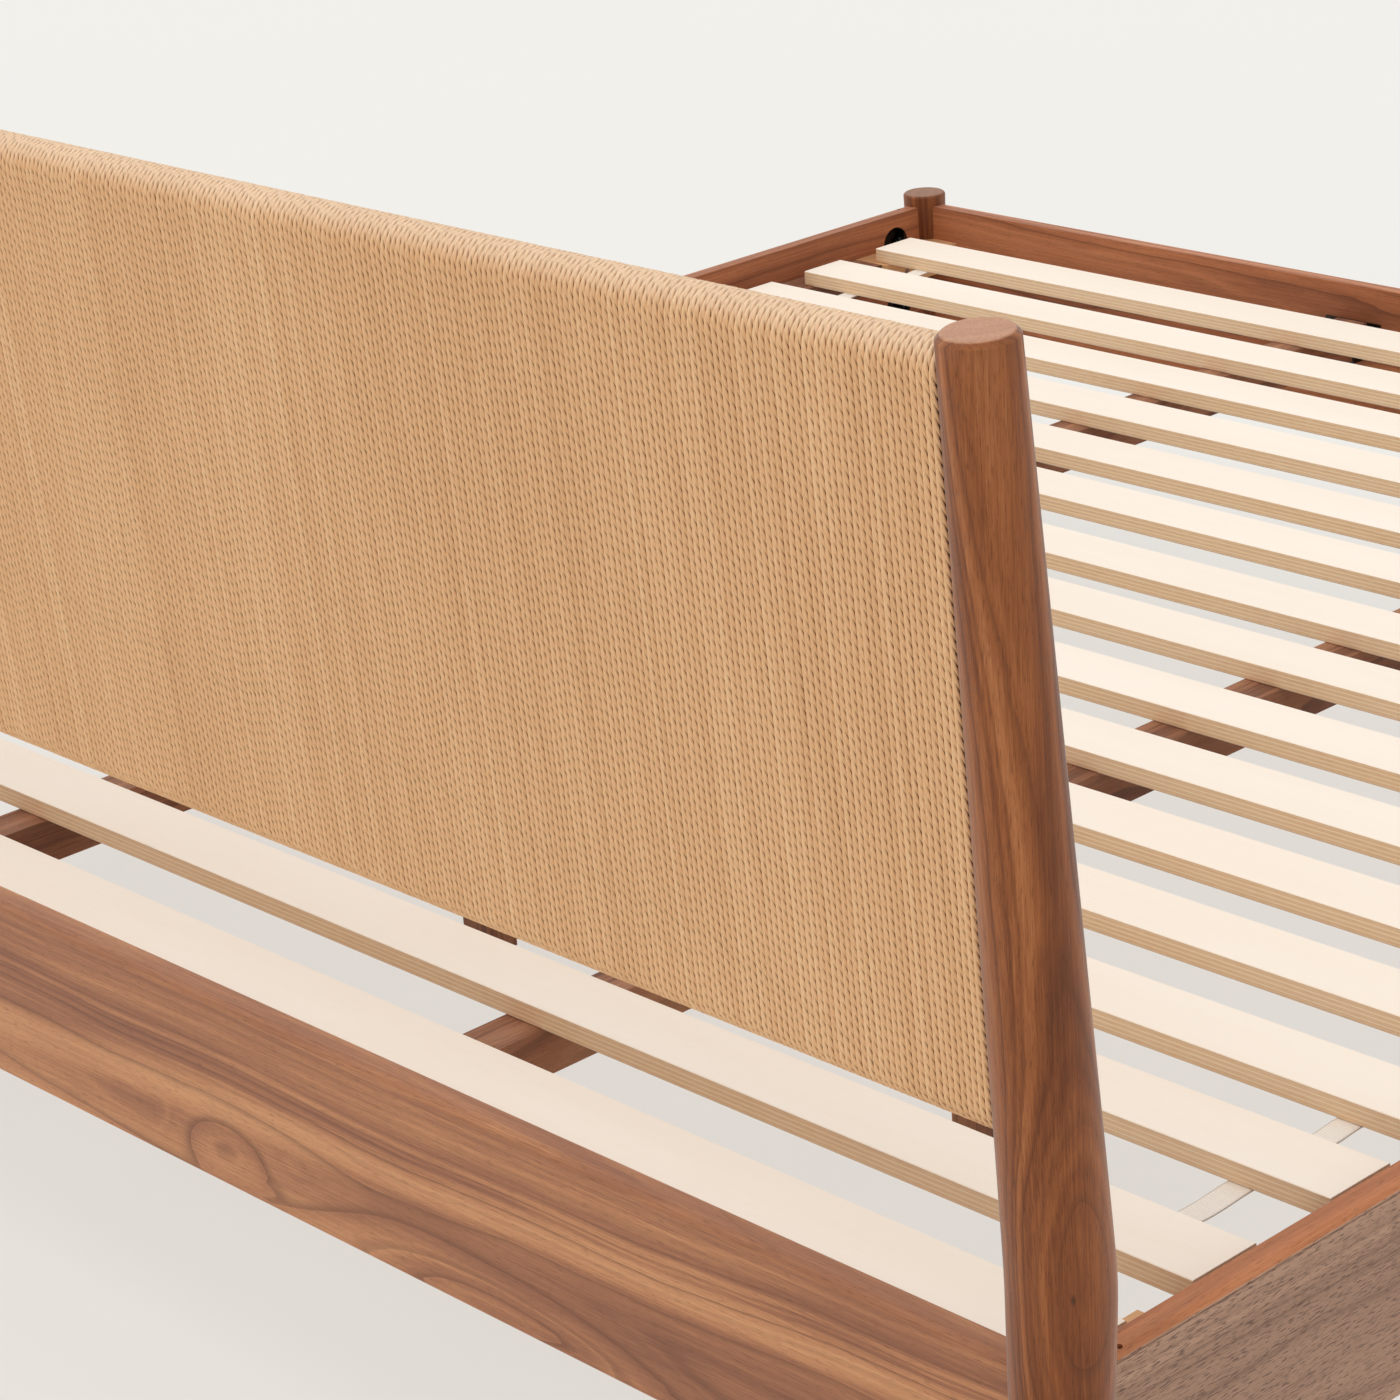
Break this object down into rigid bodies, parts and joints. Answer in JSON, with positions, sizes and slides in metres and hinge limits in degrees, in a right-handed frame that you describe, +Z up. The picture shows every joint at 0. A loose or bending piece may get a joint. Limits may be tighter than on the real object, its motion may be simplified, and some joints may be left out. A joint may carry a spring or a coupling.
{
  "type": "bed frame",
  "caption": "Low platform bed frame with round tapered posts, a leaning cord-wrapped headboard panel, board rails, strapped loose slats on centre beams, and levelling feet.",
  "frame": {"origin": "centre of the bounding box's base, on the floor", "axes": "+X to the right side as seen from the foot looking at the headboard, +Y towards the headboard, +Z up"},
  "size_m": [2.121, 2.1443, 1.0304],
  "materials": {
    "walnut": "oiled, open grain",
    "stained_wood": "stained, matte",
    "birch": "bare plywood, sanded",
    "paper_cord": "twisted, matte",
    "webbing": "woven, matte",
    "steel": "zinc plated",
    "black_plastic": "moulded, matte"
  },
  "bodies": {
    "bed_frame": {"head_post_left": "walnut", "head_post_right": "walnut", "foot_leg_left": "walnut", "foot_leg_right": "walnut", "head_rail": "walnut", "foot_rail": "walnut", "side_rail_left": "walnut", "side_rail_right": "walnut", "headboard_top_rail": "stained_wood", "headboard_bottom_rail": "stained_wood", "headboard_stiles": "stained_wood", "cord_panel": "paper_cord", "bearer_left": "stained_wood", "bearer_right": "stained_wood", "corner_blocks_head": "birch", "corner_blocks_foot": "birch", "centre_beam_left": "stained_wood", "centre_beam_right": "stained_wood", "beam_hangers": "steel", "support_leg_head_left": "stained_wood", "support_leg_head_right": "stained_wood", "support_leg_foot_left": "stained_wood", "support_leg_foot_right": "stained_wood", "threaded_inserts": "steel", "leg_glides": "black_plastic", "slat_01": "birch", "slat_02": "birch", "slat_03": "birch", "slat_04": "birch", "slat_05": "birch", "slat_06": "birch", "slat_07": "birch", "slat_08": "birch", "slat_09": "birch", "slat_10": "birch", "slat_11": "birch", "slat_12": "birch", "slat_13": "birch", "slat_14": "birch", "slat_15": "birch", "slat_16": "birch", "strap_left": "webbing", "strap_right": "webbing", "strap_staples": "steel", "corner_bolts": "steel", "corner_washers": "steel", "corner_nuts": "steel", "rail_dowels": "birch", "headboard_dowels": "birch", "bearer_screws": "steel", "hanger_screws": "steel", "support_bolts": "steel", "lock_screws": "steel"},
    "levelling_foot_head_left": {"levelling_foot_head_left": "black_plastic"},
    "levelling_foot_head_right": {"levelling_foot_head_right": "black_plastic"},
    "levelling_foot_foot_left": {"levelling_foot_foot_left": "black_plastic"},
    "levelling_foot_foot_right": {"levelling_foot_foot_right": "black_plastic"}
  },
  "joints": [
    {"name": "levelling_foot_head_left_slide", "type": "slide", "parent": "bed_frame", "child": "levelling_foot_head_left", "axis": [0, 0, -1], "range_m": [0, 0.012]},
    {"name": "levelling_foot_head_right_slide", "type": "slide", "parent": "bed_frame", "child": "levelling_foot_head_right", "axis": [0, 0, -1], "range_m": [0, 0.012]},
    {"name": "levelling_foot_foot_left_slide", "type": "slide", "parent": "bed_frame", "child": "levelling_foot_foot_left", "axis": [0, 0, -1], "range_m": [0, 0.012]},
    {"name": "levelling_foot_foot_right_slide", "type": "slide", "parent": "bed_frame", "child": "levelling_foot_foot_right", "axis": [0, 0, -1], "range_m": [0, 0.012]}
  ]
}
